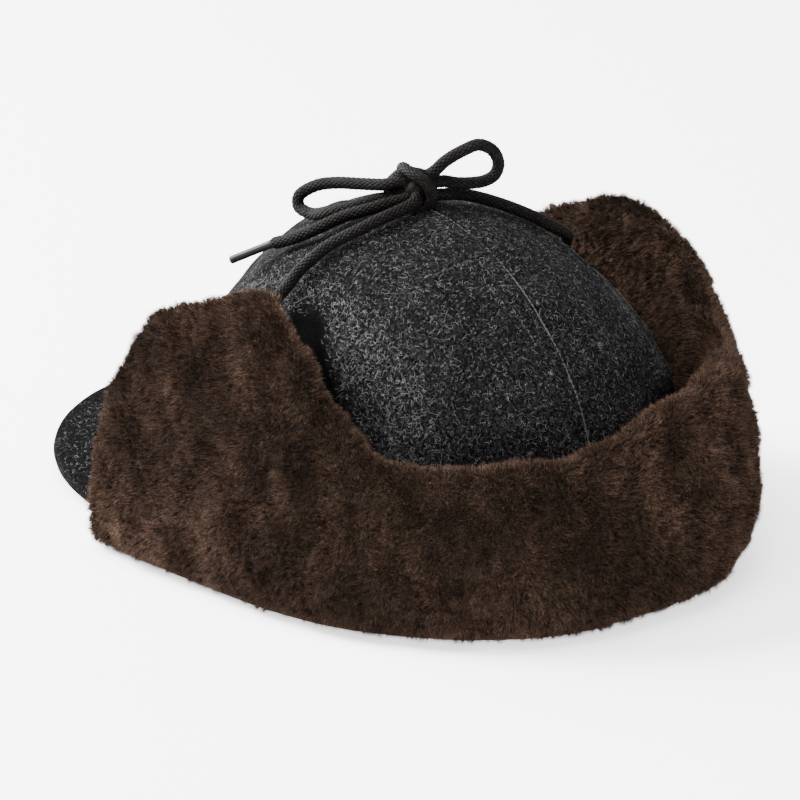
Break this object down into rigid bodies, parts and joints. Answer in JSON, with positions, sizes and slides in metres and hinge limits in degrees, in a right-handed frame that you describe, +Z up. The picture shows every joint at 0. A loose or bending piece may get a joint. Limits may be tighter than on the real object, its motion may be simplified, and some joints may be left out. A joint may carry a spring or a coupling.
{
  "type": "wool cap",
  "caption": "Wool cap with a rounded panelled crown, a curved peak, a turned-up sheepskin flap with tall ear ends, and braided cords tied in a bow on top.",
  "frame": {"origin": "on the table, under the middle of the cap's bounding box, ties left out", "axes": "+Z up, the peak points along -Y, +X is the wearer's left"},
  "size_m": [0.238, 0.3104, 0.1649],
  "materials": {
    "crown_wool": "heathered charcoal wool with pale fibres",
    "peak_wool": "heathered charcoal wool with pale fibres",
    "flap_wool": "heathered charcoal wool",
    "fleece": "dark brown sheepskin pile",
    "cord": "black braid",
    "cord_tip": "dull grey plastic"
  },
  "bodies": {
    "root": {"crown_side_left": "crown_wool", "crown_top_left": "crown_wool", "crown_top_right": "crown_wool", "crown_side_right": "crown_wool", "peak": "peak_wool", "flap_cloth": "flap_wool", "flap_fleece": "fleece", "bow_knot": "cord", "cord_lead_left": "cord", "cord_lead_right": "cord", "cord_loop_left": "cord", "cord_loop_right": "cord", "cord_tail_left": "cord", "cord_tail_right": "cord", "tip_left": "cord_tip", "tip_right": "cord_tip"}
  },
  "joints": []
}
